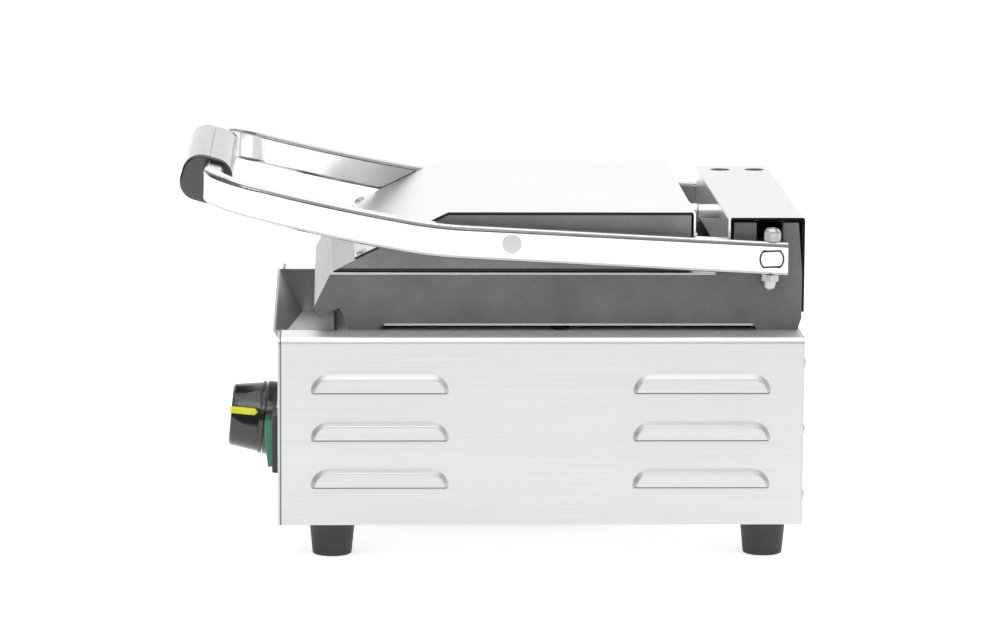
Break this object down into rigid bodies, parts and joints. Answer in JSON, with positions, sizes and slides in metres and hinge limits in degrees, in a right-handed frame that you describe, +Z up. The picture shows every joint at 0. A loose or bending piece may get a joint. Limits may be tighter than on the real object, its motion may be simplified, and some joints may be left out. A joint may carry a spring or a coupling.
{
  "type": "panini press",
  "caption": "Electric contact grill: ribbed cast plates that close together, a bent bar handle on a spring hinge, louvred steel base with dial, switch and drip tray.",
  "frame": {"origin": "centre of the footprint of the whole machine, on the surface that the feet stand on", "axes": "+X to the right of a person at the controls, +Y from the controls to the hinge, +Z up"},
  "size_m": [0.31, 0.3747, 0.2348],
  "materials": {
    "stainless": "brushed",
    "tray_steel": "satin",
    "plated_sheet": "satin",
    "foot_rubber": "matt",
    "fastener": "satin",
    "dark_steel": "satin",
    "cast_iron": "seasoned",
    "heater_sheath": "oxidised",
    "dial_black": "gloss",
    "pointer_yellow": "satin",
    "thermostat_case": "matt",
    "bulb_metal": "satin",
    "switch_black": "satin",
    "rocker_green": "gloss",
    "bushing_black": "matt",
    "terminal_body": "matt",
    "bush_bronze": "satin",
    "conduit_metal": "satin",
    "polished_bar": "polished",
    "grip_black": "satin",
    "blanket": "matt"
  },
  "bodies": {
    "base": {"casing_wrap": "stainless", "front_panel": "stainless", "rear_panel": "stainless", "hinge_cap": "stainless", "bottom_plate": "plated_sheet", "tray_runner_left": "plated_sheet", "tray_runner_right": "plated_sheet", "lower_element_clamp": "plated_sheet", "lower_heat_shield": "plated_sheet", "foot_front_left": "foot_rubber", "foot_front_right": "foot_rubber", "foot_rear_left": "foot_rubber", "foot_rear_right": "foot_rubber", "foot_screws": "fastener", "casing_screws": "fastener", "bearing_set_screws": "dark_steel", "lower_plate_bolts": "fastener", "side_studs": "dark_steel", "lower_clamp_studs": "fastener", "cap_screws": "fastener", "lower_plate": "cast_iron", "lower_element": "heater_sheath", "dial_bezel": "dial_black", "thermostat_body": "thermostat_case", "thermostat_bulb": "bulb_metal", "switch_housing": "switch_black", "cable_bushing": "bushing_black", "bushing_nut": "bushing_black", "terminal_block": "terminal_body", "hinge_bush_left": "bush_bronze", "hinge_bush_right": "bush_bronze", "torsion_spring_left": "dark_steel", "torsion_spring_right": "dark_steel", "lead_conduit": "conduit_metal"},
    "handle": {"handle_frame": "polished_bar", "hinge_shaft": "polished_bar", "clamp_screws": "fastener", "clamp_nuts": "fastener", "pivot_pin_left": "polished_bar", "pivot_pin_right": "polished_bar", "pivot_washers": "fastener", "spring_collars": "dark_steel", "grip_front": "grip_black", "grip_rear": "grip_black", "grip_screws": "dark_steel"},
    "upper_plate": {"upper_plate": "cast_iron", "upper_cover": "stainless", "cover_screws": "fastener", "upper_element": "heater_sheath", "upper_element_clamp": "plated_sheet", "upper_clamp_studs": "fastener", "upper_insulation": "blanket"},
    "dial": {"dial_knob": "dial_black", "dial_pointer": "pointer_yellow", "thermostat_spindle": "fastener"},
    "rocker": {"rocker": "rocker_green"},
    "drip_tray": {"drip_tray": "tray_steel"}
  },
  "joints": [
    {"name": "handle_hinge", "type": "hinge", "parent": "base", "child": "handle", "pos_m": [0, 0.1663, 0.18], "axis": [-1, 0, 0], "range_deg": [0, 75], "stiffness_Nm_per_rad": 5.5, "springref_deg": 100.27},
    {"name": "upper_plate_tilt", "type": "hinge", "parent": "handle", "child": "upper_plate", "pos_m": [0, 0.0115, 0.1889], "axis": [-1, 0, 0], "range_deg": [-3.75, 0]},
    {"name": "dial_turn", "type": "hinge", "parent": "base", "child": "dial", "pos_m": [0.082, -0.1274, 0.0738], "axis": [0, -0.9954, 0.0958], "range_deg": [-190, 90]},
    {"name": "rocker_tip", "type": "hinge", "parent": "base", "child": "rocker", "pos_m": [0.124, -0.1304, 0.0682], "axis": [-1, 0, 0], "range_deg": [0, 7]},
    {"name": "tray_slide", "type": "slide", "parent": "base", "child": "drip_tray", "axis": [0, -1, 0], "range_m": [0, 0.036]}
  ],
  "couplings": [
    {"joint": "upper_plate_tilt", "follows": "handle_hinge", "ratio": -0.05}
  ]
}
